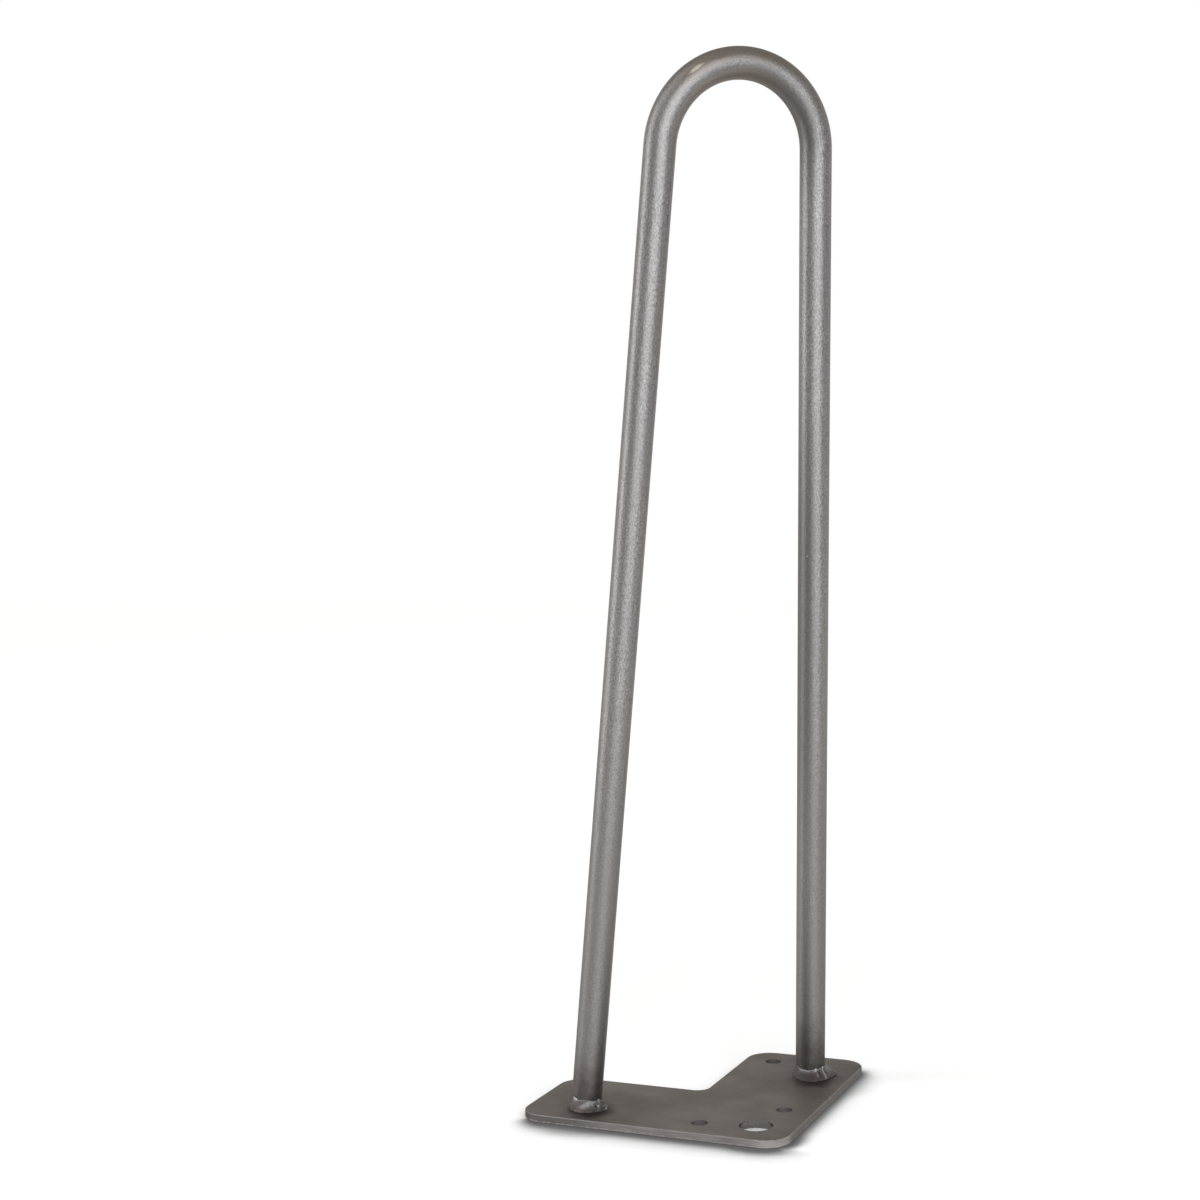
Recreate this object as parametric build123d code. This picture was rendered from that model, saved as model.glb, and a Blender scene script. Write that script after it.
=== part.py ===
from build123d import *
import os
from math import acos, atan2, cos, hypot, radians, sin

# Hairpin table leg in raw steel: a round bar bent once into a hairpin, its two ends welded to an L-shaped
# plate that is screwed to the underside of a table. Millimetres, standing on the plate, bend upwards.
# The origin is the centre of the corner hole on the mounting face. X and Y run along the plate's two arms.

# Whole leg
overall_height = 406.4
lean_angle = 9.0

# Round bar, with the bend's radius to the middle of the bar
bar_diameter = 12.0
bend_radius = 31.5
foot_from_arm_end = 22.0
foot_from_outer_edge = 18.0

# L-shaped plate
arm_length = 110.0
arm_width = 50.0
plate_thickness = 3.0
outer_corner_radius = 10.0
inner_corner_radius = 5.0
edge_break = 0.3

# Holes in the plate
corner_hole_diameter = 13.0
corner_hole_inset = 16.0
screw_hole_diameter = 6.5
near_hole_from_corner = 37.5
near_hole_from_outer_edge = 12.0
end_hole_from_arm_end = 12.5
end_hole_from_inner_edge = 12.5

# Fillet weld round each foot of the bar
weld_leg_on_plate = 4.5
weld_leg_on_bar = 4.2
weld_crown = 0.45

# Lines of the plate, seen from above
outer_edge = -corner_hole_inset
inner_edge = outer_edge + arm_width
arm_end = outer_edge + arm_length

# Points on the X arm. Each has a mirror image on the Y arm, across the plate's diagonal.
foot = (arm_end - foot_from_arm_end, outer_edge + foot_from_outer_edge)
near_hole = (outer_edge + near_hole_from_corner, outer_edge + near_hole_from_outer_edge)
end_hole = (arm_end - end_hole_from_arm_end, inner_edge - end_hole_from_inner_edge)


def on_both_arms(point):
    """A point of the X arm and its mirror image on the Y arm."""
    return [point, (point[1], point[0])]


# The hairpin lies in a plane that stands on both feet and leans out over the plate's corner
bar_radius = bar_diameter / 2
lean = radians(lean_angle)
across = Vector(1, -1, 0).normalized()
outward = Vector(-1, -1, 0).normalized()
up_the_lean = outward * sin(lean) + Vector(0, 0, cos(lean))
feet_middle = sum(foot) / 2
hairpin_plane = Plane(
    origin=(feet_middle, feet_middle, plate_thickness),
    x_dir=across,
    z_dir=across.cross(up_the_lean),
)

# In that plane: half the feet's spread, the bend's crest and centre, and where a straight run meets the bend
half_spread = (foot[0] - foot[1]) / 2 ** 0.5
crest = (overall_height - plate_thickness - bar_radius) / cos(lean)
bend_centre = crest - bend_radius
run_tilt = acos(bend_radius / hypot(half_spread, bend_centre)) - atan2(bend_centre, half_spread)
meeting = (bend_radius * cos(run_tilt), bend_centre + bend_radius * sin(run_tilt))

# Each run starts below the plate's top, and is cut off there
waste = bar_diameter
run_start = (half_spread + waste * sin(run_tilt), -waste * cos(run_tilt))


def make_hairpin_rod():
    """One round bar: a straight run, the bend and a straight run, with both ends cut flat on the plate."""
    with BuildPart() as rod:
        with BuildLine(hairpin_plane) as route:
            Line(run_start, meeting)
            ThreePointArc(meeting, (0, crest), (-meeting[0], meeting[1]))
            Line((-meeting[0], meeting[1]), (-run_start[0], run_start[1]))
        with BuildSketch(Plane(origin=route.line @ 0, z_dir=route.line % 0)):
            Circle(bar_radius)
        sweep(path=route.line)
        split(bisect_by=Plane.XY.offset(plate_thickness), keep=Keep.TOP)
    return rod.part


def make_mounting_plate():
    """The L-shaped plate with rounded corners, a corner hole, four screw holes and a broken outer edge."""
    corners = {
        (outer_edge, outer_edge): outer_corner_radius,
        (arm_end, outer_edge): outer_corner_radius,
        (arm_end, inner_edge): outer_corner_radius,
        (inner_edge, inner_edge): inner_corner_radius,
        (inner_edge, arm_end): outer_corner_radius,
        (outer_edge, arm_end): outer_corner_radius,
    }
    with BuildPart() as plate:
        with BuildSketch():
            with BuildLine():
                FilletPolyline(*corners, radius=corners.values(), close=True)
            make_face()
            Circle(corner_hole_diameter / 2, mode=Mode.SUBTRACT)
            with Locations(*on_both_arms(near_hole), *on_both_arms(end_hole)):
                Circle(screw_hole_diameter / 2, mode=Mode.SUBTRACT)
        extrude(amount=plate_thickness)
        flats = plate.faces().filter_by(Axis.Z)
        chamfer([edge for flat in flats for edge in flat.outer_wire().edges()], edge_break)
    return plate.part


def make_weld_bead(foot_place, rod):
    """Weld metal all round one foot: a crowned flank from its toe on the plate up to the leaning bar."""
    toe = Vector(bar_radius + weld_leg_on_plate, 0)
    top = Vector(bar_radius, weld_leg_on_bar)
    flank_normal = Vector(weld_leg_on_bar, weld_leg_on_plate).normalized()
    shoulder = (toe + top) / 2 + flank_normal * weld_crown
    inside_bar = top + (top - shoulder).normalized() * bar_radius
    with BuildPart() as bead:
        with BuildSketch(Plane.XZ):
            with BuildLine():
                Polyline(toe, shoulder, inside_bar, (0, inside_bar.Y), (0, 0), close=True)
            make_face()
        revolve(axis=Axis.Z)
    return Pos(*foot_place, plate_thickness) * bead.part - rod


rod = make_hairpin_rod()
pieces = {"hairpin_rod": rod, "mounting_plate": make_mounting_plate()}
for arm, foot_place in zip("xy", on_both_arms(foot)):
    pieces[f"weld_bead_{arm}_arm"] = make_weld_bead(foot_place, rod)

os.makedirs("parts", exist_ok=True)
for node, piece in pieces.items():
    export_step(piece, f"parts/{node}.step")
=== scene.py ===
from math import acos, atan2, cos, exp, hypot, pi, radians, remainder, sin, tau

import bmesh
import bpy
from mathutils import Matrix, Quaternion, Vector, noise


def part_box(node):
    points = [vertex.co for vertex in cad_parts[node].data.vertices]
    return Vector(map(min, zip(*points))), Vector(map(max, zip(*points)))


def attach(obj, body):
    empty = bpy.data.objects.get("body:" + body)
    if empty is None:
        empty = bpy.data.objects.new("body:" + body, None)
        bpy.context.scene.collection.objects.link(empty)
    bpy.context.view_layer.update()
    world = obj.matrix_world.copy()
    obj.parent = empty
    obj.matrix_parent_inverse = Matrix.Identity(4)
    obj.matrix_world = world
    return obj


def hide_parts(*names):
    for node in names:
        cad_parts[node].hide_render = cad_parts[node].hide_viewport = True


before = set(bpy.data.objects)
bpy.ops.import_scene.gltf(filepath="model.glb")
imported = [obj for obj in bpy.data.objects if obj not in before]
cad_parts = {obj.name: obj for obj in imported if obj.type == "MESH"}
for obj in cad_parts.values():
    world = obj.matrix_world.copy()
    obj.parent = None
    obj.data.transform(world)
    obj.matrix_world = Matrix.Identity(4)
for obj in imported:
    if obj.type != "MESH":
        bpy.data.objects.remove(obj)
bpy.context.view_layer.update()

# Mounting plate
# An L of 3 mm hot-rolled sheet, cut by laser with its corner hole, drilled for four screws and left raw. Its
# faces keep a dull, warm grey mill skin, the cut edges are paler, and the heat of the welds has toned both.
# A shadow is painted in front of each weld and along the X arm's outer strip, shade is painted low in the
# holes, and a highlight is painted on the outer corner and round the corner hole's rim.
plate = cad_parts["mounting_plate"]
plate_low, plate_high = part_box("mounting_plate")
plate_top = plate_high.z

corner_hole = (0.0, 0.0, 0.0065)
screw_hole_radius = 0.00325
screw_hole_places = ((0.0215, -0.004), (-0.004, 0.0215), (0.0815, 0.0215), (0.0215, 0.0815))
screw_holes = tuple((x, y, screw_hole_radius) for x, y in screw_hole_places)
hole_rim = (0.0010, 0.0005)
shaded_wall_top = (0.0022, 0.0010)
burr_top = (0.0009, 0.0005)
# Painted highlight at the outer corner: its inset from the corner and its reach
highlight_inset = 0.003
highlight_reach = (0.011, 0.005)
# Painted shade over the X arm's outer strip: where it starts and ends across the plate
shaded_stretch = (0.006, -0.012)
smoked_stretch = (0.052, 0.072)
wide_heat = (0.006, 0.031, 0.24)
# Heat tint with painted shadow in front of the welds: start, reach and strength
heat_and_shadow_ring = (0.0045, 0.0115, 0.88)
heat_raggedness = 0.008
heat_specks = 140.0

mill_skin_light = (0.208, 0.187, 0.166, 1)
mill_skin_dark = (0.158, 0.141, 0.123, 1)
cut_edge = (0.224, 0.208, 0.197, 1)
cut_edge_dark = (0.166, 0.154, 0.145, 1)
cut_burr = (0.29, 0.27, 0.256, 1)
drilled_wall = (0.178, 0.167, 0.160, 1)
bare_arris = (0.255, 0.240, 0.229, 1)
# Painted highlight colour for the outer corner and the corner hole's rim
corner_highlight = (0.50, 0.475, 0.455, 1)
heat_tint_and_shade = (0.036, 0.029, 0.024, 1)
# Smoke on the edge near the Y weld, and painted shade low in the holes
smoked_and_shaded_edge = (0.090, 0.082, 0.076, 1)
plate_sheen = (0.42, 0.40, 0.38, 1)

plate_clouds = 45.0
plate_grains = 1100.0
rolled_grains = 420.0
edge_lines = 2200.0
burr_dashes = 700.0
worn_spots = 500.0
along_the_rolling = (1.0, 0.07, 1.0)
round_the_edge = (0.05, 0.05, 1.0)
plate_roughness = 0.58
grain_depth = 0.0002


def put_node(tree, kind, inputs=None, **settings):
    """A new node, with each input given a value or joined to the socket that feeds it."""
    made = tree.nodes.new(kind)
    for name, value in settings.items():
        setattr(made, name, value)
    for socket, value in (inputs or {}).items():
        if isinstance(value, bpy.types.NodeSocket):
            tree.links.new(value, made.inputs[socket])
        else:
            made.inputs[socket].default_value = value
    return made


def calculate(tree, operation, *values):
    """The result of one sum on values that change over the surface."""
    return put_node(tree, "ShaderNodeMath", dict(enumerate(values)), operation=operation).outputs[0]


def measure(tree, operation, *places):
    """A length or the like, from places that change over the surface."""
    made = put_node(tree, "ShaderNodeVectorMath", dict(enumerate(places)), operation=operation)
    return made.outputs["Value"]


def along_axes(tree, place):
    """The X, Y and Z of a place."""
    return put_node(tree, "ShaderNodeSeparateXYZ", {0: place}).outputs


def tinted(tree, share, under, over):
    """One colour laid over another by a mask."""
    mixed = put_node(tree, "ShaderNodeMix", {0: share, 6: under, 7: over}, data_type="RGBA")
    return mixed.outputs[2]


def eased(tree, value, start, end, low=0.0, high=1.0):
    """A value carried smoothly from low to high as it goes from start to end."""
    inputs = {"Value": value, "From Min": start, "From Max": end, "To Min": low, "To Max": high}
    return put_node(tree, "ShaderNodeMapRange", inputs, interpolation_type="SMOOTHSTEP").outputs[0]


def speckle(tree, place, scale, detail=2.0, roughness=0.5):
    """Noise of about that many grains to the metre."""
    inputs = {"Vector": place, "Scale": scale, "Detail": detail, "Roughness": roughness}
    return put_node(tree, "ShaderNodeTexNoise", inputs).outputs["Fac"]


def stretched(tree, place, scale):
    """A place drawn out along an axis, so that a grain laid on it runs that way."""
    return put_node(tree, "ShaderNodeMapping", {"Vector": place, "Scale": scale}).outputs[0]


def new_group(name, inputs, outputs):
    """An empty node group with named sockets, and the nodes at its two ends."""
    group = bpy.data.node_groups.new(name, "ShaderNodeTree")
    for socket, kind in inputs.items():
        group.interface.new_socket(socket, in_out="INPUT", socket_type=kind)
    for socket, kind in outputs.items():
        group.interface.new_socket(socket, in_out="OUTPUT", socket_type=kind)
    return group, group.nodes.new("NodeGroupInput"), group.nodes.new("NodeGroupOutput")


def make_steel_mottle():
    """The cloudy skin and the fine grain of raw steel, each from 0 to 1 with its middle at a half."""
    group, given, result = new_group(
        "steel_mottle",
        {"Vector": "NodeSocketVector", "Cloud Scale": "NodeSocketFloat", "Grain Scale": "NodeSocketFloat"},
        {"Cloud": "NodeSocketFloat", "Grain": "NodeSocketFloat"},
    )
    cloud = speckle(group, given.outputs["Vector"], given.outputs["Cloud Scale"], 4.0, 0.55)
    grain = speckle(group, given.outputs["Vector"], given.outputs["Grain Scale"], 3.0, 0.65)
    group.links.new(eased(group, cloud, 0.30, 0.70), result.inputs["Cloud"])
    group.links.new(eased(group, grain, 0.28, 0.72), result.inputs["Grain"])
    return group


def foot_of(weld_node):
    """Where a run of the bar stands on the plate: the middle of the weld round it."""
    low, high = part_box(weld_node)
    return Vector(((low.x + high.x) / 2, (low.y + high.y) / 2, plate_top))


foot_on_x_arm = foot_of("weld_bead_x_arm")
foot_on_y_arm = foot_of("weld_bead_y_arm")
# Both middles sit forward of the feet, so the tint also paints the shadow on the plate in front of each weld
heat_and_shadow_middles = (
    (foot_on_x_arm + Vector((-0.0086, -0.0053, 0)), 1.16),
    (foot_on_y_arm + Vector((-0.0064, -0.0044, 0)), 1.05),
)


def make_weld_heat_and_shade():
    """Heat tint and painted shadow of the welds: 1 at a foot of the bar, down to 0 at a ragged reach."""
    group, given, result = new_group(
        "weld_heat_and_shade",
        {"Vector": "NodeSocketVector", "Start": "NodeSocketFloat", "Reach": "NodeSocketFloat"},
        {"Heat and Shade": "NodeSocketFloat"},
    )
    place = given.outputs["Vector"]
    distances = []
    for middle, wider in heat_and_shadow_middles:
        away = measure(group, "DISTANCE", place, tuple(middle))
        distances.append(calculate(group, "DIVIDE", away, wider))
    nearest = calculate(group, "MINIMUM", *distances)
    rough = speckle(group, place, heat_specks)
    ragged = calculate(group, "MULTIPLY_ADD", rough, heat_raggedness, -heat_raggedness / 2)
    distance = calculate(group, "ADD", nearest, ragged)
    heat = eased(group, distance, given.outputs["Start"], given.outputs["Reach"], 1.0, 0.0)
    group.links.new(heat, result.inputs["Heat and Shade"])
    return group


steel_mottle = make_steel_mottle()
weld_heat_and_shade = make_weld_heat_and_shade()


def mottled(tree, place, cloud_scale, grain_scale):
    """The cloud and the grain of raw steel at a place on it."""
    inputs = {"Vector": place, "Cloud Scale": cloud_scale, "Grain Scale": grain_scale}
    made = put_node(tree, "ShaderNodeGroup", inputs, node_tree=steel_mottle)
    return made.outputs["Cloud"], made.outputs["Grain"]


def heated_and_shaded(tree, place, start, reach, most):
    """The mask of heat tint and painted shadow round the welds."""
    inputs = {"Vector": place, "Start": start, "Reach": reach}
    made = put_node(tree, "ShaderNodeGroup", inputs, node_tree=weld_heat_and_shade)
    return calculate(tree, "MULTIPLY", made.outputs["Heat and Shade"], most)


def new_finish(name):
    """A material with its node tree, its shader and the piece's Object coordinates."""
    material = bpy.data.materials.new(name)
    material.use_nodes = True
    tree = material.node_tree
    place = put_node(tree, "ShaderNodeTexCoord").outputs["Object"]
    return material, tree, tree.nodes["Principled BSDF"], place


def raise_grain(tree, shader, strength, height):
    """The relief of a grain that is too fine for the mesh."""
    inputs = {"Strength": strength, "Distance": grain_depth, "Height": height}
    tree.links.new(put_node(tree, "ShaderNodeBump", inputs).outputs[0], shader.inputs["Normal"])


def make_plate_steel():
    """Mill skin on the faces, cut steel on the edges and in the holes, and heat tint round the welds."""
    material, tree, shader, place = new_finish("plate_steel")
    cloud, grain = mottled(tree, place, plate_clouds, plate_grains)
    colour = tinted(tree, cloud, mill_skin_dark, mill_skin_light)
    rolled = speckle(tree, stretched(tree, place, along_the_rolling), rolled_grains, 3.0, 0.6)
    colour = tinted(tree, eased(tree, rolled, 0.30, 0.70, high=0.30), colour, mill_skin_dark)
    colour = tinted(tree, eased(tree, grain, 0.1, 0.9, high=0.40), colour, mill_skin_light)
    colour = tinted(tree, heated_and_shaded(tree, place, *wide_heat), colour, heat_tint_and_shade)
    # Heat tint and painted shadow: a dark band round each weld, deepest in front of its toe
    colour = tinted(tree, heated_and_shaded(tree, place, *heat_and_shadow_ring), colour, heat_tint_and_shade)
    on_plate = along_axes(tree, place)
    # Painted shade: the X arm's outer strip is darkened
    colour = tinted(tree, eased(tree, on_plate["Y"], *shaded_stretch, high=0.13), colour, heat_tint_and_shade)

    facing = put_node(tree, "ShaderNodeNewGeometry").outputs["Normal"]
    flatness = calculate(tree, "ABSOLUTE", along_axes(tree, facing)["Z"])
    side = eased(tree, flatness, 0.35, 0.15)
    arris = calculate(tree, "MULTIPLY", eased(tree, flatness, 0.2, 0.5), eased(tree, flatness, 0.95, 0.85))
    in_plan = stretched(tree, place, (1.0, 1.0, 0.0))
    clearances = []
    for x, y, radius in (corner_hole, *screw_holes):
        away = measure(tree, "DISTANCE", in_plan, (x, y, 0.0))
        clearances.append(calculate(tree, "SUBTRACT", away, radius))
    nearest_screw_hole = clearances[1]
    for clearance in clearances[2:]:
        nearest_screw_hole = calculate(tree, "MINIMUM", nearest_screw_hole, clearance)
    in_screw_hole = eased(tree, nearest_screw_hole, *hole_rim)
    in_corner_hole = eased(tree, clearances[0], *hole_rim)
    in_hole = calculate(tree, "MAXIMUM", in_corner_hole, in_screw_hole)
    screw_wall = calculate(tree, "MULTIPLY", in_screw_hole, side)

    lines = speckle(tree, stretched(tree, place, round_the_edge), edge_lines, 3.0, 0.6)
    edge_colour = tinted(tree, eased(tree, lines, 0.36, 0.64), cut_edge_dark, cut_edge)
    smoked = eased(tree, on_plate["Y"], *smoked_stretch, high=0.72)
    edge_colour = tinted(tree, smoked, edge_colour, smoked_and_shaded_edge)
    dashed = eased(tree, speckle(tree, place, burr_dashes), 0.42, 0.56, 0.15, 1.0)
    burr = calculate(tree, "MULTIPLY", dashed, eased(tree, on_plate["Z"], *burr_top))
    edge_colour = tinted(tree, burr, edge_colour, cut_burr)
    # Painted shade: the walls of the holes darken low down, where less light reaches
    shaded_low_wall = calculate(tree, "MULTIPLY", in_hole, eased(tree, on_plate["Z"], *shaded_wall_top, high=0.65))
    edge_colour = tinted(tree, shaded_low_wall, edge_colour, smoked_and_shaded_edge)
    # Painted highlight: the cut edge is lightened at the outer corner, where a lamp catches it
    highlight_place = (plate_low.x + highlight_inset, plate_low.y + highlight_inset, 0.0)
    at_corner = eased(tree, measure(tree, "DISTANCE", in_plan, highlight_place), *highlight_reach, high=0.8)
    edge_colour = tinted(tree, calculate(tree, "MULTIPLY", at_corner, 0.32), edge_colour, corner_highlight)
    edge_colour = tinted(tree, calculate(tree, "MULTIPLY", in_screw_hole, 0.9), edge_colour, drilled_wall)
    colour = tinted(tree, side, colour, edge_colour)
    worn = eased(tree, speckle(tree, place, worn_spots, 3.0, 0.6), 0.36, 0.60, 0.55, 1.0)
    # Painted highlight: the arris is lightened at the outer corner and round the corner hole's rim
    highlighted_arris = calculate(tree, "MAXIMUM", at_corner, calculate(tree, "MULTIPLY", in_corner_hole, 0.8))
    arris_colour = tinted(tree, highlighted_arris, bare_arris, corner_highlight)
    colour = tinted(tree, calculate(tree, "MULTIPLY", arris, worn), colour, arris_colour)
    tree.links.new(colour, shader.inputs["Base Color"])

    roughness = calculate(tree, "MULTIPLY_ADD", cloud, -0.10, plate_roughness)
    cut = calculate(tree, "MAXIMUM", side, arris)
    roughness = calculate(tree, "MULTIPLY_ADD", cut, -0.17, roughness)
    corner_wall = calculate(tree, "MULTIPLY", in_corner_hole, side)
    roughness = calculate(tree, "MULTIPLY_ADD", corner_wall, -0.12, roughness)
    roughness = calculate(tree, "MULTIPLY_ADD", screw_wall, 0.05, roughness)
    tree.links.new(roughness, shader.inputs["Roughness"])
    metal = calculate(tree, "MULTIPLY_ADD", screw_wall, -0.18, eased(tree, cut, 0.0, 1.0, 0.6, 0.9))
    tree.links.new(metal, shader.inputs["Metallic"])
    shader.inputs["Specular Tint"].default_value = plate_sheen
    shader.inputs["Specular IOR Level"].default_value = 0.35
    relief = calculate(tree, "ADD", grain, calculate(tree, "MULTIPLY", lines, side))
    raise_grain(tree, shader, 0.14, relief)
    return material


plate.data.materials.clear()
plate.data.materials.append(make_plate_steel())

# Hairpin bar
# One 12 mm round bar of drawn mild steel, bent cold once round a former into a hairpin that leans over the
# plate's corner. Its satin grey skin has a fine drawn grain, browned over the bend and toned by the welds.
# Painted shade darkens its crest and the inner side of the X arm's shoulder and run.
bar_radius = 0.006
bend_radius = 0.0315
lean = radians(9.0)
bar_sides = 72
bend_steps = 72
run_steps = 60

across = Vector((1, -1, 0)).normalized()
outward = Vector((-1, -1, 0)).normalized()
up_the_lean = outward * sin(lean) + Vector((0, 0, cos(lean)))
through = across.cross(up_the_lean)
feet_middle = (foot_on_x_arm + foot_on_y_arm) / 2
half_spread = (foot_on_x_arm - foot_on_y_arm).length / 2
bar_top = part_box("hairpin_rod")[1].z
bend_height = (bar_top - bar_radius - plate_top) / cos(lean) - bend_radius
bend_centre = feet_middle + up_the_lean * bend_height
run_tilt = acos(bend_radius / hypot(half_spread, bend_height)) - atan2(bend_height, half_spread)
run_length = hypot(half_spread - bend_radius * cos(run_tilt), bend_height + bend_radius * sin(run_tilt))
run_waste = bar_radius * 2
bend_turn = pi - 2 * run_tilt

bar_skin = (0.240, 0.233, 0.228, 1)
bar_skin_light = (0.380, 0.371, 0.363, 1)
bar_skin_dark = (0.142, 0.137, 0.133, 1)
# Painted shade colour for the inner side of the X arm's shoulder and run
shaded_side = (0.095, 0.092, 0.090, 1)
low_brown = (0.205, 0.186, 0.173, 1)
outer_bend_brown = (0.250, 0.204, 0.163, 1)
inside_brown = (0.180, 0.146, 0.112, 1)
rubbed_gold = (0.78, 0.70, 0.57, 1)
bare_nick = (0.60, 0.58, 0.56, 1)
heat_purple = (0.080, 0.067, 0.058, 1)
bar_sheen = (0.72, 0.69, 0.66, 1)

bar_clouds = 60.0
bar_grains = 1900.0
brown_patches = 90.0
heat_blotches = 260.0
along_the_bar = (1.0, 1.0, 0.6)
bar_roughness = 0.38

# Patches on the bar: middle along it from the crest, reach along it, side of the bar and strength
# Painted shade: the inner part of the crest is darkened
shaded_crest = (0.0, (0.026, 0.006), (0.0045, 0.0015), 0.42)
# Painted shade: the inside of the X arm's shoulder and the inner side of its run are darkened
shaded_shoulder = (0.024, (0.046, 0.008), (0.0015, -0.005), 0.85)
shaded_run = (0.235, (0.12, 0.03), (-0.0004, -0.0046), 0.60)
browned_crest = (0.0, (0.048, 0.012), (-0.001, 0.005), 1.0)
brown_inside = (-0.010, (0.036, 0.012), (0.0, -0.004), 0.5)
bar_heat = (0.006, 0.028, 0.72)
low_brown_stretch = (0.20, 0.09)
low_dull_stretch = (0.10, 0.01)

# Spots where the skin is rubbed off: the place on the straight bar, the size and the colour
bare_spots = (
    ((0.0036, 0.0048, -0.0193), (0.0009, 0.0015, 0.0042), rubbed_gold),
    ((-0.0046, 0.0038, 0.2015), (0.0007, 0.0007, 0.0003), bare_nick),
)


def run_direction(side):
    """The way down a straight run, on the X arm's side for 1 and the Y arm's for -1."""
    return across * (side * sin(run_tilt)) - up_the_lean * cos(run_tilt)


def straightened(point):
    """A point of the bar as it was before bending, and the way the bar runs there."""
    offset = point - bend_centre
    side = 1 if offset.dot(across) > 0 else -1
    below = offset.dot(run_direction(side))
    if below > 0:
        outwards = across * (side * cos(run_tilt)) + up_the_lean * sin(run_tilt)
        along = side * (bend_radius * bend_turn / 2 + below)
    else:
        turn = atan2(offset.dot(across), offset.dot(up_the_lean))
        outwards = across * sin(turn) + up_the_lean * cos(turn)
        along = bend_radius * turn
    place = Vector((offset.dot(outwards) - bend_radius, offset.dot(through), along))
    return place, outwards.cross(through)


def put_mesh(name, mesh, material):
    """An object in the scene, of that mesh and material."""
    data = bpy.data.meshes.new(name)
    mesh.to_mesh(data)
    mesh.free()
    data.materials.append(material)
    item = bpy.data.objects.new(name, data)
    bpy.context.scene.collection.objects.link(item)
    return item


def new_piece(name, mesh, material, node):
    """A finished piece that stands for a node of the frame."""
    piece = put_mesh(name, mesh, material)
    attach(piece, "root")
    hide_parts(node)


def bend_the_bar():
    """The bend is spun from one ring, the runs are drawn on from its ends, and the feet are cut flat."""
    bar = bmesh.new()
    outwards = across * cos(run_tilt) + up_the_lean * sin(run_tilt)
    ring_place = Matrix((outwards, -through, -run_direction(1))).transposed().to_4x4()
    ring_place.translation = bend_centre + outwards * bend_radius
    first = bmesh.ops.create_circle(bar, segments=bar_sides, radius=bar_radius, matrix=ring_place)["verts"]
    first_ring = bar.edges[:]
    spun = bmesh.ops.spin(
        bar, geom=first + first_ring, cent=bend_centre, axis=through, angle=bend_turn, steps=bend_steps
    )["geom_last"]
    last_ring = [item for item in spun if isinstance(item, bmesh.types.BMEdge)]
    for side, ring in ((1, first_ring), (-1, last_ring)):
        step = run_direction(side) * ((run_length + run_waste) / run_steps)
        for _ in range(run_steps):
            grown = bmesh.ops.extrude_edge_only(bar, edges=ring)["geom"]
            ring = [item for item in grown if isinstance(item, bmesh.types.BMEdge) and item.is_boundary]
            new_verts = [item for item in grown if isinstance(item, bmesh.types.BMVert)]
            bmesh.ops.translate(bar, verts=new_verts, vec=step)
    everything = bar.verts[:] + bar.edges[:] + bar.faces[:]
    bmesh.ops.bisect_plane(
        bar, geom=everything, dist=1e-7, plane_co=(0, 0, plate_top), plane_no=(0, 0, 1), clear_inner=True
    )
    for face in bar.faces:
        face.smooth = True
    ends = [edge for edge in bar.edges if edge.is_boundary]
    for face in bmesh.ops.edgeloop_fill(bar, edges=ends)["faces"]:
        face.smooth = False
    bmesh.ops.recalc_face_normals(bar, faces=bar.faces)
    straight = bar.verts.layers.float_vector.new("straight_bar")
    way = bar.verts.layers.float_vector.new("bar_way")
    for vert in bar.verts:
        vert[straight], vert[way] = straightened(vert.co)
    return bar


def carried(tree, name):
    """What the mesh carries under that name."""
    return put_node(tree, "ShaderNodeAttribute", attribute_name=name).outputs


def bar_patch(tree, round_bar, middle, reach, sides, most):
    """The mask of a soft patch on one side of the bar."""
    off_middle = calculate(tree, "ABSOLUTE", calculate(tree, "SUBTRACT", round_bar["Z"], middle))
    on_side = eased(tree, round_bar["X"], *sides, high=most)
    return calculate(tree, "MULTIPLY", eased(tree, off_middle, *reach), on_side)


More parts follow.
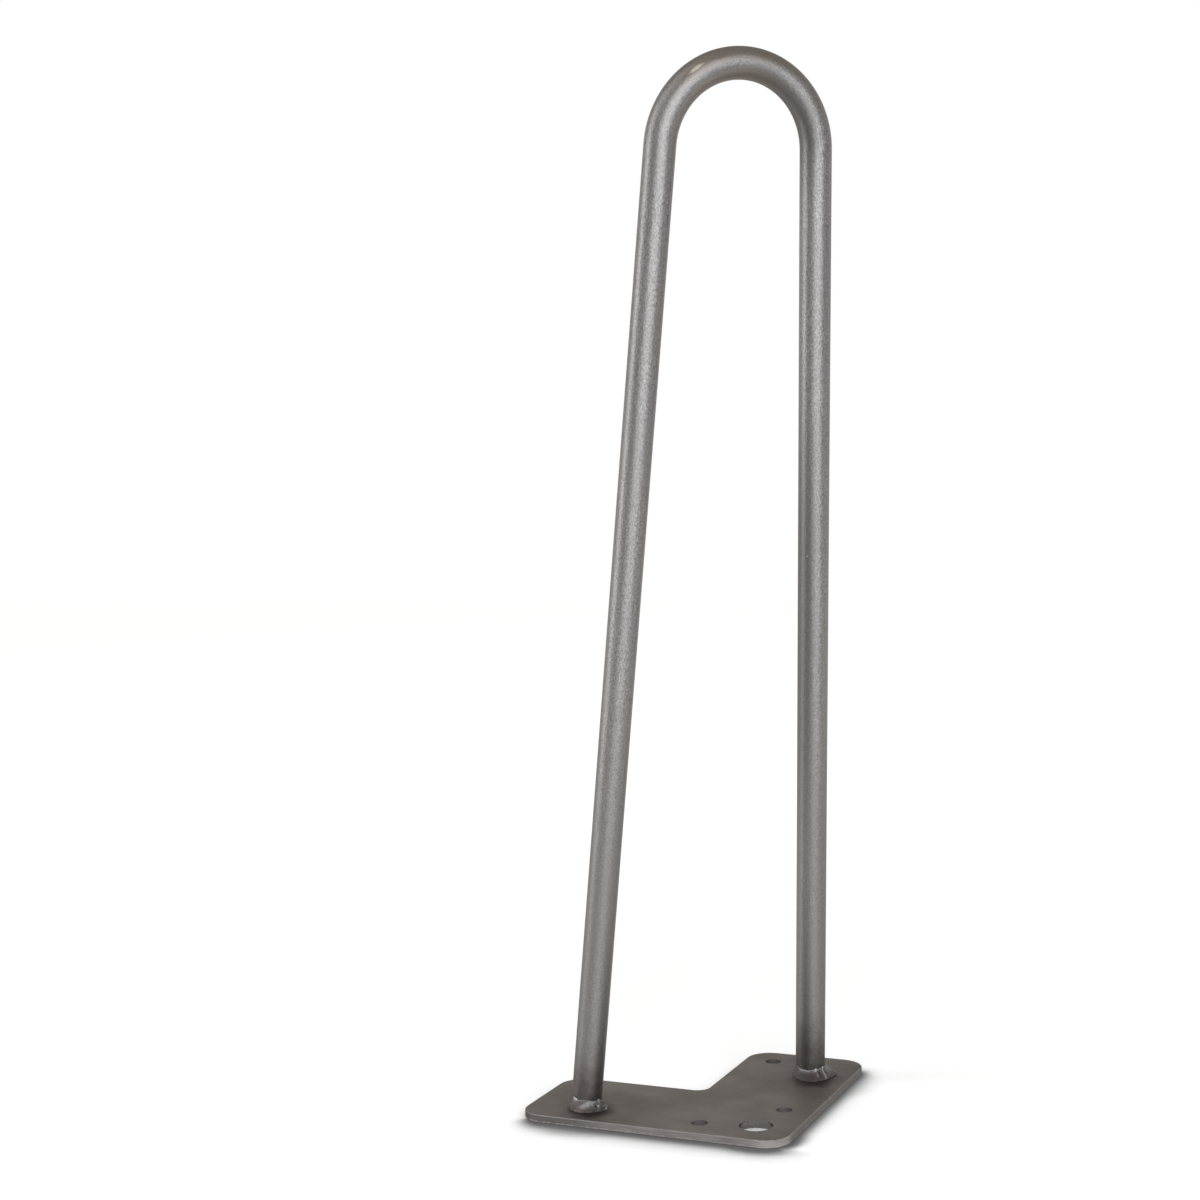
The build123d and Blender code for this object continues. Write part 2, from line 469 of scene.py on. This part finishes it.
def make_bar_steel():
    """Drawn skin with a fine grain, browner in patches, toned above the welds, and with painted shade."""
    material, tree, shader, place = new_finish("bar_steel")
    straight = carried(tree, "straight_bar")["Vector"]
    cloud, grain = mottled(tree, stretched(tree, straight, along_the_bar), bar_clouds, bar_grains)
    colour = tinted(tree, grain, bar_skin_dark, bar_skin_light)
    colour = tinted(tree, eased(tree, cloud, 0.0, 1.0, 0.1, 0.4), colour, bar_skin)

    round_bar = along_axes(tree, straight)
    # Painted shade over the crest, the X arm's shoulder and the inner side of its run
    for patch, over in ((shaded_crest, bar_skin_dark), (shaded_shoulder, shaded_side), (shaded_run, shaded_side)):
        colour = tinted(tree, bar_patch(tree, round_bar, *patch), colour, over)
    # Browner in patches over the outside of the bend
    patchy = eased(tree, speckle(tree, straight, brown_patches, 3.0), 0.30, 0.60, 0.40, 0.80)
    browned_outside = calculate(tree, "MULTIPLY", bar_patch(tree, round_bar, *browned_crest), patchy)
    colour = tinted(tree, browned_outside, colour, outer_bend_brown)
    colour = tinted(tree, bar_patch(tree, round_bar, *brown_inside), colour, inside_brown)
    for spot_place, spot_size, bare in bare_spots:
        inputs = {"Vector": straight, "Location": spot_place, "Scale": spot_size}
        from_spot = put_node(tree, "ShaderNodeMapping", inputs, vector_type="TEXTURE").outputs[0]
        rubbed = eased(tree, measure(tree, "LENGTH", from_spot), 1.0, 0.2, high=0.80)
        colour = tinted(tree, rubbed, colour, bare)

    standing = along_axes(tree, place)["Z"]
    colour = tinted(tree, eased(tree, standing, *low_brown_stretch, high=0.55), colour, low_brown)
    blotched = eased(tree, speckle(tree, place, heat_blotches, 3.0, 0.6), 0.35, 0.62, 0.72, 1.0)
    toned = calculate(tree, "MULTIPLY", heated_and_shaded(tree, place, *bar_heat), blotched)
    colour = tinted(tree, toned, colour, heat_purple)
    tree.links.new(colour, shader.inputs["Base Color"])
    roughness = calculate(tree, "MULTIPLY_ADD", grain, 0.08, bar_roughness)
    roughness = calculate(tree, "ADD", roughness, eased(tree, standing, *low_dull_stretch, high=0.12))
    tree.links.new(roughness, shader.inputs["Roughness"])
    shader.inputs["Metallic"].default_value = 1.0
    shader.inputs["Specular Tint"].default_value = bar_sheen
    shader.inputs["Anisotropic"].default_value = 0.7
    tree.links.new(carried(tree, "bar_way")["Vector"], shader.inputs["Tangent"])
    raise_grain(tree, shader, 0.22, grain)
    return material


new_piece("hairpin_bar", bend_the_bar(), make_bar_steel(), "hairpin_rod")

# Weld beads
# Each foot of the bar is welded to the plate by one fillet bead run all round it. The metal is laid by hand,
# so its toe wanders, its hollow flank is lumped and rippled, and where the run ends it laps over its start.
bead_steps = 240
flank_cuts = 7
flank_smoothing = 6
wander_scale = 1.6
wander_seed = 300
waver_scale = 4.5
waver_seed = 500
toe_wander = 0.0004
toe_waver = 0.0001
climb_wander = 0.10
climb_waver = 0.06
ripple_count = 44
ripple_depth = 0.000015
ripple_bow = 2.5
ripple_wander = 3
lump_height = 0.00005
lap_height = 0.00055
lap_width = 0.05
lap_climb = 0.0005
lap_climb_width = 0.08
lap_slant = radians(20)
groove_depth = 0.5
groove_offset = 0.15
groove_width = 0.08

flank_grey = (0.123, 0.109, 0.098, 1)
flank_light = (0.162, 0.146, 0.133, 1)
flank_dark = (0.088, 0.076, 0.067, 1)
# Soot, and painted shade in the crevice and pits by the lap
soot_and_shade_black = (0.040, 0.034, 0.030, 1)
heat_rose = (0.160, 0.112, 0.100, 1)
# Bare weld metal, bright enough to stand for its highlights and glints too
bare_and_glint_grey = (0.73, 0.725, 0.73, 1)
weld_sheen = (0.62, 0.60, 0.58, 1)
weld_clouds = 260.0
weld_grains = 1300.0
bare_breaks = 420.0
weld_roughness = 0.58

# Each bead's own form. The flank goes from the toe (1, 0) to the top (0, 1), and angles go round the foot.
# Lumps: angle, width, reach outwards and rise. Pips: angle, share of the climb, width and height.
# Bared, rosy and sooty patches: angle, width, share of the climb, height and strength. The bared patches
# are bare metal with painted highlights and glints, and the sooty ones soot with painted shade in the
# crevice and pits by the lap.
weld_shapes = {
    "x": dict(
        flank=((1.0, 0.0), (0.96, 0.10), (0.26, 0.54), (0.10, 0.90), (0.0, 1.0)),
        toe_reach=0.0030, climb=0.0030, swell=radians(250), swell_reach=0.0026, lap=radians(238),
        lumps=(
            (197, 0.55, 0.0031, 0.0), (278, 0.70, 0.0, 0.0014), (130, 0.40, 0.0, 0.0008),
            (218, 0.12, 0.0, 0.0004), (60, 0.80, 0.0006, 0.0010),
        ),
        pips=(
            (216, 0.90, 0.0008, 0.0004), (219, 0.45, 0.0004, 0.00035), (245, 0.52, 0.0005, -0.0002),
            (305, 0.20, 0.0003, 0.0003), (60, 0.30, 0.0003, 0.0003), (20, 0.40, 0.0003, 0.0003),
            (102, 0.50, 0.0013, -0.0003), (118, 0.50, 0.0013, -0.0003), (134, 0.50, 0.0013, -0.0003),
        ),
        bared_and_glints=(
            (238, 0.04, 0.60, 0.45, 1.0), (178, 0.65, 0.95, 0.12, 0.8), (212, 0.10, 0.90, 0.18, 1.0),
            (219, 0.03, 0.45, 0.08, 1.0), (270, 0.30, 0.65, 0.30, 0.25),
        ),
        rosy=((214, 0.26, 0.35, 0.25, 1.0),),
        soot_and_shade_patches=((226, 0.05, 0.58, 0.22, 0.9), (247, 0.05, 0.52, 0.20, 0.8)),
    ),
    "y": dict(
        flank=((1.0, 0.0), (0.94, 0.08), (0.44, 0.50), (0.12, 0.88), (0.0, 1.0)),
        toe_reach=0.0026, climb=0.0042, swell=radians(243), swell_reach=0.0013, lap=radians(240),
        lumps=(
            (203, 0.75, 0.0013, 0.0), (246, 0.25, 0.0011, 0.0), (310, 0.60, -0.0014, 0.0),
            (125, 0.35, -0.0006, 0.0), (153, 0.26, 0.0, 0.0009), (228, 0.20, 0.0, -0.0005),
            (302, 0.68, 0.0, -0.0029), (40, 0.60, 0.0004, 0.0006),
        ),
        pips=(
            (158, 0.92, 0.0009, 0.0004), (222, 0.85, 0.0012, 0.0004), (208, 0.62, 0.0014, 0.0004),
            (236, 0.42, 0.00028, 0.00028), (228, 0.35, 0.00025, 0.00025), (258, 0.12, 0.0003, 0.0003),
            (232, 0.55, 0.0004, -0.0002), (262, 0.55, 0.0006, -0.0003), (70, 0.30, 0.0003, 0.0003),
            (98, 0.48, 0.0016, -0.0004), (114, 0.48, 0.0016, -0.0004), (130, 0.48, 0.0016, -0.0004),
            (284, 0.50, 0.0015, -0.0003), (300, 0.50, 0.0015, -0.0004), (316, 0.50, 0.0015, -0.0003),
        ),
        bared_and_glints=(
            (154, 0.14, 0.93, 0.16, 1.0), (214, 0.22, 0.88, 0.16, 0.75), (207, 0.22, 0.70, 0.18, 0.5),
            (199, 0.22, 0.50, 0.18, 0.35), (240, 0.05, 0.85, 0.22, 0.9), (237, 0.022, 0.42, 0.06, 1.0),
            (261, 0.03, 0.12, 0.07, 1.0),
        ),
        rosy=((190, 0.25, 0.30, 0.25, 0.5),),
        soot_and_shade_patches=((260, 0.14, 0.55, 0.25, 0.8), (230, 0.06, 0.55, 0.22, 0.7), (247, 0.05, 0.30, 0.18, 0.6)),
    ),
}


def nearness(angle, middle, width):
    """1 where two angles meet, falling away over a width."""
    return exp(-(remainder(angle - middle, tau) / width) ** 2)


def patched(patches, angle, height):
    """How far a place on a flank lies within the nearest of some soft patches."""
    here = 0.0
    for place, width, share, tall, strength in patches:
        level = exp(-((height - share) / tall) ** 2)
        here = max(here, strength * nearness(angle, radians(place), width) * level)
    return here


def spin_bead(flank, toe_reach, climb):
    """An even bead, spun upright round the bar from the line of its flank.

    The smoothing rounds the whole section, so the toe and the top end just clear of the plate and the bar.
    """
    bead = bmesh.new()
    line = [bead.verts.new((bar_radius + toe_reach * out, 0, climb * up)) for out, up in flank]
    root = bead.verts.new((bar_radius, 0, 0))
    drawn = [bead.edges.new(pair) for pair in zip(line, line[1:])]
    bead.edges.new((line[-1], root))
    bead.edges.new((root, line[0]))
    bmesh.ops.subdivide_edges(bead, edges=drawn, cuts=flank_cuts)
    for _ in range(flank_smoothing):
        bmesh.ops.smooth_vert(
            bead, verts=bead.verts, factor=0.5, use_axis_x=True, use_axis_y=True, use_axis_z=True
        )
    profile = bead.verts[:] + bead.edges[:]
    bmesh.ops.spin(
        bead, geom=profile, cent=(0, 0, 0), axis=(0, 0, 1), angle=tau, steps=bead_steps, use_merge=True
    )
    bmesh.ops.remove_doubles(bead, verts=bead.verts, dist=1e-7)
    bmesh.ops.recalc_face_normals(bead, faces=bead.faces)
    for face in bead.faces:
        face.smooth = True
    return bead


def lay_bead(
    foot, lean_of_run, flank, toe_reach, climb, swell, swell_reach, lap, lumps, pips, bared_and_glints, rosy, soot_and_shade_patches
):
    """A bead spun round a foot, then lumped, rippled, lapped and leaned with the bar."""
    bead = spin_bead(flank, toe_reach, climb)
    up_the_flank = bead.verts.layers.float.new("up_the_flank")
    bare_and_glints = bead.verts.layers.float.new("bare_and_glints")
    rose_tint = bead.verts.layers.float.new("rose_tint")
    soot_and_shade = bead.verts.layers.float.new("soot_and_shade")
    for vert in bead.verts:
        angle = atan2(vert.co.y, vert.co.x)
        outwards = Vector((cos(angle), sin(angle), 0))
        height = vert.co.z / climb
        spread = (hypot(vert.co.x, vert.co.y) - bar_radius) / toe_reach
        slanted = angle - lap_slant * (height - 0.5)
        vert[up_the_flank] = height
        vert[bare_and_glints] = patched(bared_and_glints, slanted, height)
        vert[rose_tint] = patched(rosy, slanted, height)
        vert[soot_and_shade] = patched(soot_and_shade_patches, slanted, height)
        belly = sin(pi * height)
        wander = noise.noise(outwards * wander_scale + foot * wander_seed)
        waver = noise.noise(outwards * waver_scale + foot * waver_seed)
        groove = nearness(slanted, lap - groove_offset, groove_width)
        lapped = nearness(slanted, lap, lap_width) - groove_depth * groove
        ripple = sin(ripple_count * angle + ripple_bow * belly + ripple_wander * wander)
        proud = belly * (lump_height * waver + ripple_depth * ripple + lap_height * lapped)
        for place, share, width, tall in pips:
            around = remainder(angle - radians(place), tau) * (bar_radius + toe_reach * spread)
            off = hypot(around, (height - share) * climb)
            proud += tall * exp(-(off / width) ** 2) if spread > 0 else 0.0
        reach = toe_reach + swell_reach * cos(angle - swell) + toe_wander * wander + toe_waver * waver
        rise = climb * (1 + climb_wander * wander + climb_waver * waver)
        rise += lap_climb * nearness(slanted, lap, lap_climb_width)
        for place, width, out, up in lumps:
            near = nearness(angle, radians(place), width)
            reach += out * near
            rise += up * near
        run_out = reach * spread + proud * rise / hypot(rise, reach)
        lift = rise * height + proud * reach / hypot(rise, reach)
        vert.co = foot + outwards * (bar_radius + run_out) + Vector((0, 0, lift)) + lean_of_run * lift
    return bead


def make_weld_metal():
    """Dark sooty, rosy weld metal, bare at the lap and top, with painted highlights, glints and shade."""
    material, tree, shader, place = new_finish("weld_metal")
    cloud, grain = mottled(tree, place, weld_clouds, weld_grains)
    height = carried(tree, "up_the_flank")["Fac"]
    # Painted shade: the flank darkens down towards its toe, where less light falls
    colour = tinted(tree, eased(tree, height, 0.05, 0.60), flank_dark, flank_grey)
    colour = tinted(tree, eased(tree, cloud, 0.3, 1.0, high=0.6), colour, flank_light)
    rose = calculate(tree, "MULTIPLY", carried(tree, "rose_tint")["Fac"], 0.8)
    colour = tinted(tree, rose, colour, heat_rose)
    # Soot, with painted shade in the crevice and pits by the lap
    colour = tinted(tree, carried(tree, "soot_and_shade")["Fac"], colour, soot_and_shade_black)
    broken = eased(tree, speckle(tree, place, bare_breaks, 3.0), 0.34, 0.56, 0.55, 1.0)
    # Bare metal with painted highlights: bright patches at the lap, the glints and the ledge, and along the
    # lit top
    bare_and_lit_top = eased(tree, height, 0.78, 0.96, high=0.30)
    bare = calculate(tree, "MAXIMUM", carried(tree, "bare_and_glints")["Fac"], bare_and_lit_top)
    bare = calculate(tree, "MULTIPLY", bare, broken)
    colour = tinted(tree, bare, colour, bare_and_glint_grey)
    # Painted reflection: a thin light line along the toe
    colour = tinted(tree, eased(tree, height, 0.09, 0.02, high=0.4), colour, flank_light)
    colour = tinted(tree, eased(tree, grain, 0.55, 0.95, high=0.6), colour, flank_dark)
    colour = tinted(tree, eased(tree, grain, 0.35, 0.05, high=0.6), colour, flank_light)
    tree.links.new(colour, shader.inputs["Base Color"])
    roughness = calculate(tree, "MULTIPLY_ADD", cloud, -0.10, weld_roughness)
    roughness = calculate(tree, "MULTIPLY_ADD", bare, -0.24, roughness)
    tree.links.new(roughness, shader.inputs["Roughness"])
    tree.links.new(eased(tree, bare, 0.0, 1.0, 0.65, 0.95), shader.inputs["Metallic"])
    shader.inputs["Specular Tint"].default_value = weld_sheen
    shader.inputs["Specular IOR Level"].default_value = 0.35
    raise_grain(tree, shader, 0.30, grain)
    return material


weld_metal = make_weld_metal()
for arm, foot, side in (("x", foot_on_x_arm, 1), ("y", foot_on_y_arm, -1)):
    down = run_direction(side)
    lean_of_run = Vector((down.x / down.z, down.y / down.z, 0))
    bead = lay_bead(foot, lean_of_run, **weld_shapes[arm])
    new_piece(f"weld_on_{arm}_arm", bead, weld_metal, f"weld_bead_{arm}_arm")

# Floor and light
# A wide white studio floor under a white tent, with a tall soft box on each side that draws the light bands
# down the bar and a smaller one above. To the camera, floor and tent are white but for the plate's shadow.
floor_size = 3.0
floor_gap = 0.0002
floor_white = (0.945, 0.930, 0.912, 1)
black = (0, 0, 0, 1)
white = (1, 1, 1, 1)
floor_roughness = 0.8
floor_glow = 0.30
far_floor_glow = 0.55
glow_reach = (0.15, 0.80)
floor_behind = (-0.40, -0.15)
shadow_reach = 0.027
shadow_samples = 32
shadow_under = 0.006
shadow_out = 0.004
shadow_past = 0.008
shadow_short = 0.010
front_depth = 18.0
side_depth = 8.0
back_depth = 0.7
side_cut_off = 0.97
corner_deepening = 2.2
corner_reach = (0.024, 0.008)
contact_dark = 0.13
hole_shade = 0.62
floor_in_hole = (0.010, 0.008)
floor_off_hole = (0.010, 0.014)
tent_light = 0.48
room_grey = 0.55
backdrop_way = (cos(radians(24)), sin(radians(24)), 0.0)
backdrop_sides = (0.2, 0.6)
backdrop_top = (0.80, 0.26)
box_light = (0.965, 0.985, 1.03)
leg_middle = Vector((0.02, 0.02, 0.50))


def seen_rays(tree):
    """1 for rays from the camera, and for those that come by way of metal or glass."""
    path = put_node(tree, "ShaderNodeLightPath").outputs
    either = calculate(tree, "MAXIMUM", path["Is Camera Ray"], path["Is Glossy Ray"])
    return calculate(tree, "MAXIMUM", either, path["Is Transmission Ray"])


def edge_shadow(tree, out, plate_edge, along, arm_end, depth):
    """How deep the shadow is off one outer edge of the plate, fading past the end of the arm."""
    off_edge = eased(tree, out, plate_edge + shadow_under, plate_edge - shadow_out, high=depth)
    beside_arm = eased(tree, along, arm_end + shadow_past, arm_end - shadow_short)
    return calculate(tree, "MULTIPLY", off_edge, beside_arm)


def make_floor_paint():
    """White that deepens into the plate's shadow, with a glow that keeps it white to the camera."""
    material, tree, shader, place = new_finish("floor_white")
    openness = put_node(
        tree, "ShaderNodeAmbientOcclusion", {"Distance": shadow_reach}, samples=shadow_samples
    ).outputs
    floor_axes = along_axes(tree, place)
    front = edge_shadow(tree, floor_axes["X"], plate_low.x, floor_axes["Y"], plate_high.y, front_depth)
    side = edge_shadow(tree, floor_axes["Y"], plate_low.y, floor_axes["X"], plate_high.x, side_depth)
    deeper = calculate(tree, "MAXIMUM", calculate(tree, "MAXIMUM", front, side), back_depth)
    far_off = measure(tree, "LENGTH", place)
    depth = calculate(tree, "MULTIPLY", deeper, eased(tree, far_off, *floor_off_hole))
    off_corner = measure(tree, "DISTANCE", place, (plate_low.x, plate_low.y, -floor_gap))
    at_corner = eased(tree, off_corner, *corner_reach, 1.0, corner_deepening)
    depth = calculate(tree, "MULTIPLY", depth, at_corner)
    looked_at = put_node(tree, "ShaderNodeLightPath").outputs["Is Camera Ray"]
    limit = eased(tree, calculate(tree, "SUBTRACT", side, front), 0.0, side_depth, 1.0, side_cut_off)
    nearby = calculate(tree, "MINIMUM", calculate(tree, "DIVIDE", openness["AO"], limit), 1.0)
    near_plate = calculate(tree, "POWER", nearby, calculate(tree, "MULTIPLY", depth, looked_at))
    contact = calculate(tree, "MULTIPLY_ADD", near_plate, 1 - contact_dark, contact_dark)
    in_hole = calculate(tree, "MULTIPLY", looked_at, eased(tree, far_off, *floor_in_hole))
    contact = calculate(tree, "MULTIPLY", contact, eased(tree, in_hole, 0.0, 1.0, 1.0, hole_shade))
    tree.links.new(tinted(tree, contact, black, floor_white), shader.inputs["Base Color"])
    shader.inputs["Roughness"].default_value = floor_roughness
    shader.inputs["Specular IOR Level"].default_value = 0.0

    behind = measure(tree, "DOT_PRODUCT", place, backdrop_way)
    in_the_steel = calculate(tree, "MULTIPLY", seen_rays(tree), eased(tree, behind, *floor_behind))
    seen = calculate(tree, "MAXIMUM", looked_at, in_the_steel)
    whiter = eased(tree, far_off, *glow_reach, floor_glow, far_floor_glow)
    glow = calculate(tree, "MULTIPLY", seen, calculate(tree, "MULTIPLY", whiter, contact))
    shader.inputs["Emission Color"].default_value = white
    tree.links.new(glow, shader.inputs["Emission Strength"])
    return material


floor_mesh = bmesh.new()
under_the_plate = Matrix.Translation((0, 0, -floor_gap))
bmesh.ops.create_grid(floor_mesh, x_segments=1, y_segments=1, size=floor_size, matrix=under_the_plate)
floor = put_mesh("floor", floor_mesh, make_floor_paint())

world = bpy.data.worlds.new("white_tent")
bpy.context.scene.world = world
world.use_nodes = True
tent = world.node_tree
direction = put_node(tent, "ShaderNodeTexCoord").outputs["Generated"]
elevation = along_axes(tent, direction)["Z"]
in_front = eased(tent, measure(tent, "DOT_PRODUCT", direction, backdrop_way), *backdrop_sides)
backdrop = calculate(tent, "MULTIPLY", in_front, eased(tent, elevation, *backdrop_top))
in_the_steel = tinted(tent, backdrop, (room_grey, room_grey, room_grey, 1), white)
tent_colour = tinted(tent, seen_rays(tent), (tent_light, tent_light, tent_light, 1), in_the_steel)
to_camera = put_node(tent, "ShaderNodeLightPath").outputs["Is Camera Ray"]
tent_colour = tinted(tent, to_camera, tent_colour, white)
tent.links.new(tent_colour, tent.nodes["Background"].inputs["Color"])
tent.nodes["Background"].inputs["Strength"].default_value = 1.0


def put_soft_box(name, azimuth, rise, distance, width, tall, radiance):
    """A soft box turned towards the middle of the leg, whose face shines with that radiance."""
    lamp = bpy.data.lights.new(name, "AREA")
    lamp.shape = "RECTANGLE"
    lamp.size = width
    lamp.size_y = tall
    lamp.energy = radiance * pi * width * tall
    lamp.color = box_light
    box = bpy.data.objects.new(name, lamp)
    towards = Vector((cos(azimuth) * cos(rise), sin(azimuth) * cos(rise), sin(rise)))
    box.location = leg_middle + towards * distance
    box.rotation_mode = "QUATERNION"
    box.rotation_quaternion = (-towards).to_track_quat("-Z", "Y")
    bpy.context.scene.collection.objects.link(box)


put_soft_box(
    "left_soft_box", azimuth=radians(118), rise=0.0, distance=0.9, width=0.35, tall=0.92, radiance=2.75
)
put_soft_box(
    "right_soft_box", azimuth=radians(221), rise=0.0, distance=0.9, width=1.0, tall=0.92, radiance=2.65
)
put_soft_box(
    "high_soft_box", azimuth=radians(150), rise=radians(45), distance=1.1, width=0.8, tall=0.8, radiance=0.9
)

# Camera
# It stands a little above the middle of the leg, off the plate's corner, as for the photograph.
camera_place = Vector((-0.70652, -0.25993, 0.25009))
view_azimuth = radians(24.288)
view_dip = radians(3.416)
view_roll = radians(-1.630)
camera_lens = 60.166

camera_data = bpy.data.cameras.new("camera")
camera_data.lens = camera_lens
camera_data.sensor_width = 36.0
camera_data.clip_start = 0.01
camera = bpy.data.objects.new("camera", camera_data)
ahead = Vector((cos(view_azimuth) * cos(view_dip), sin(view_azimuth) * cos(view_dip), -sin(view_dip)))
camera.location = camera_place
camera.rotation_mode = "QUATERNION"
camera.rotation_quaternion = ahead.to_track_quat("-Z", "Y") @ Quaternion((0, 0, 1), view_roll)
bpy.context.scene.collection.objects.link(camera)
bpy.context.scene.camera = camera
bpy.context.scene.view_settings.view_transform = "Standard"
